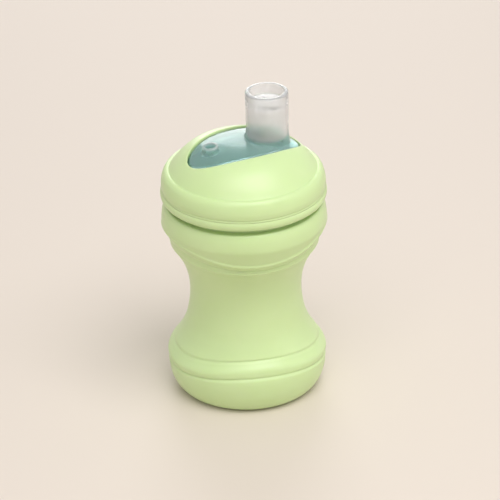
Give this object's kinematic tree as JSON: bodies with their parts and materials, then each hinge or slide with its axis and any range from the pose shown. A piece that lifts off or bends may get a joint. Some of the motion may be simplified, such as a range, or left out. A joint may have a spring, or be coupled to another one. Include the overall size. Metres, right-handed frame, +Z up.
{
  "type": "sippy cup",
  "caption": "Waisted toddler's drinking cup with a domed screw lid, an oval window, a soft spout with a slit valve and an air vent.",
  "frame": {"origin": "centre of the underside, on the surface that the cup stands on", "axes": "+Z up along the cup's axis, +X from the axis towards the spout, the air vent is towards -X"},
  "size_m": [0.078, 0.078, 0.149],
  "materials": {
    "green_plastic": "satin moulded polypropylene, pale apple green",
    "clear_silicone": "soft see-through milky silicone",
    "seal_silicone": "soft milky silicone, matt"
  },
  "bodies": {
    "cup": {"cup_body": "green_plastic"},
    "seal": {"lid_gasket": "seal_silicone"},
    "lid": {"screw_lid": "green_plastic"},
    "spout": {"soft_spout": "clear_silicone"}
  },
  "joints": [
    {"name": "lid_rise", "type": "slide", "parent": "cup", "child": "seal", "axis": [0, 0, 1], "range_m": [0, 0.02]},
    {"name": "lid_turn", "type": "hinge", "parent": "seal", "child": "lid", "pos_m": [0, 0, 0.1], "axis": [0, 0, 1], "range_deg": [0, 720]},
    {"name": "spout_release", "type": "slide", "parent": "lid", "child": "spout", "axis": [0, 0, -1], "range_m": [0, 0.028]}
  ],
  "couplings": [
    {"joint": "lid_rise", "follows": "lid_turn", "m_per_rad": 0.0015915}
  ]
}
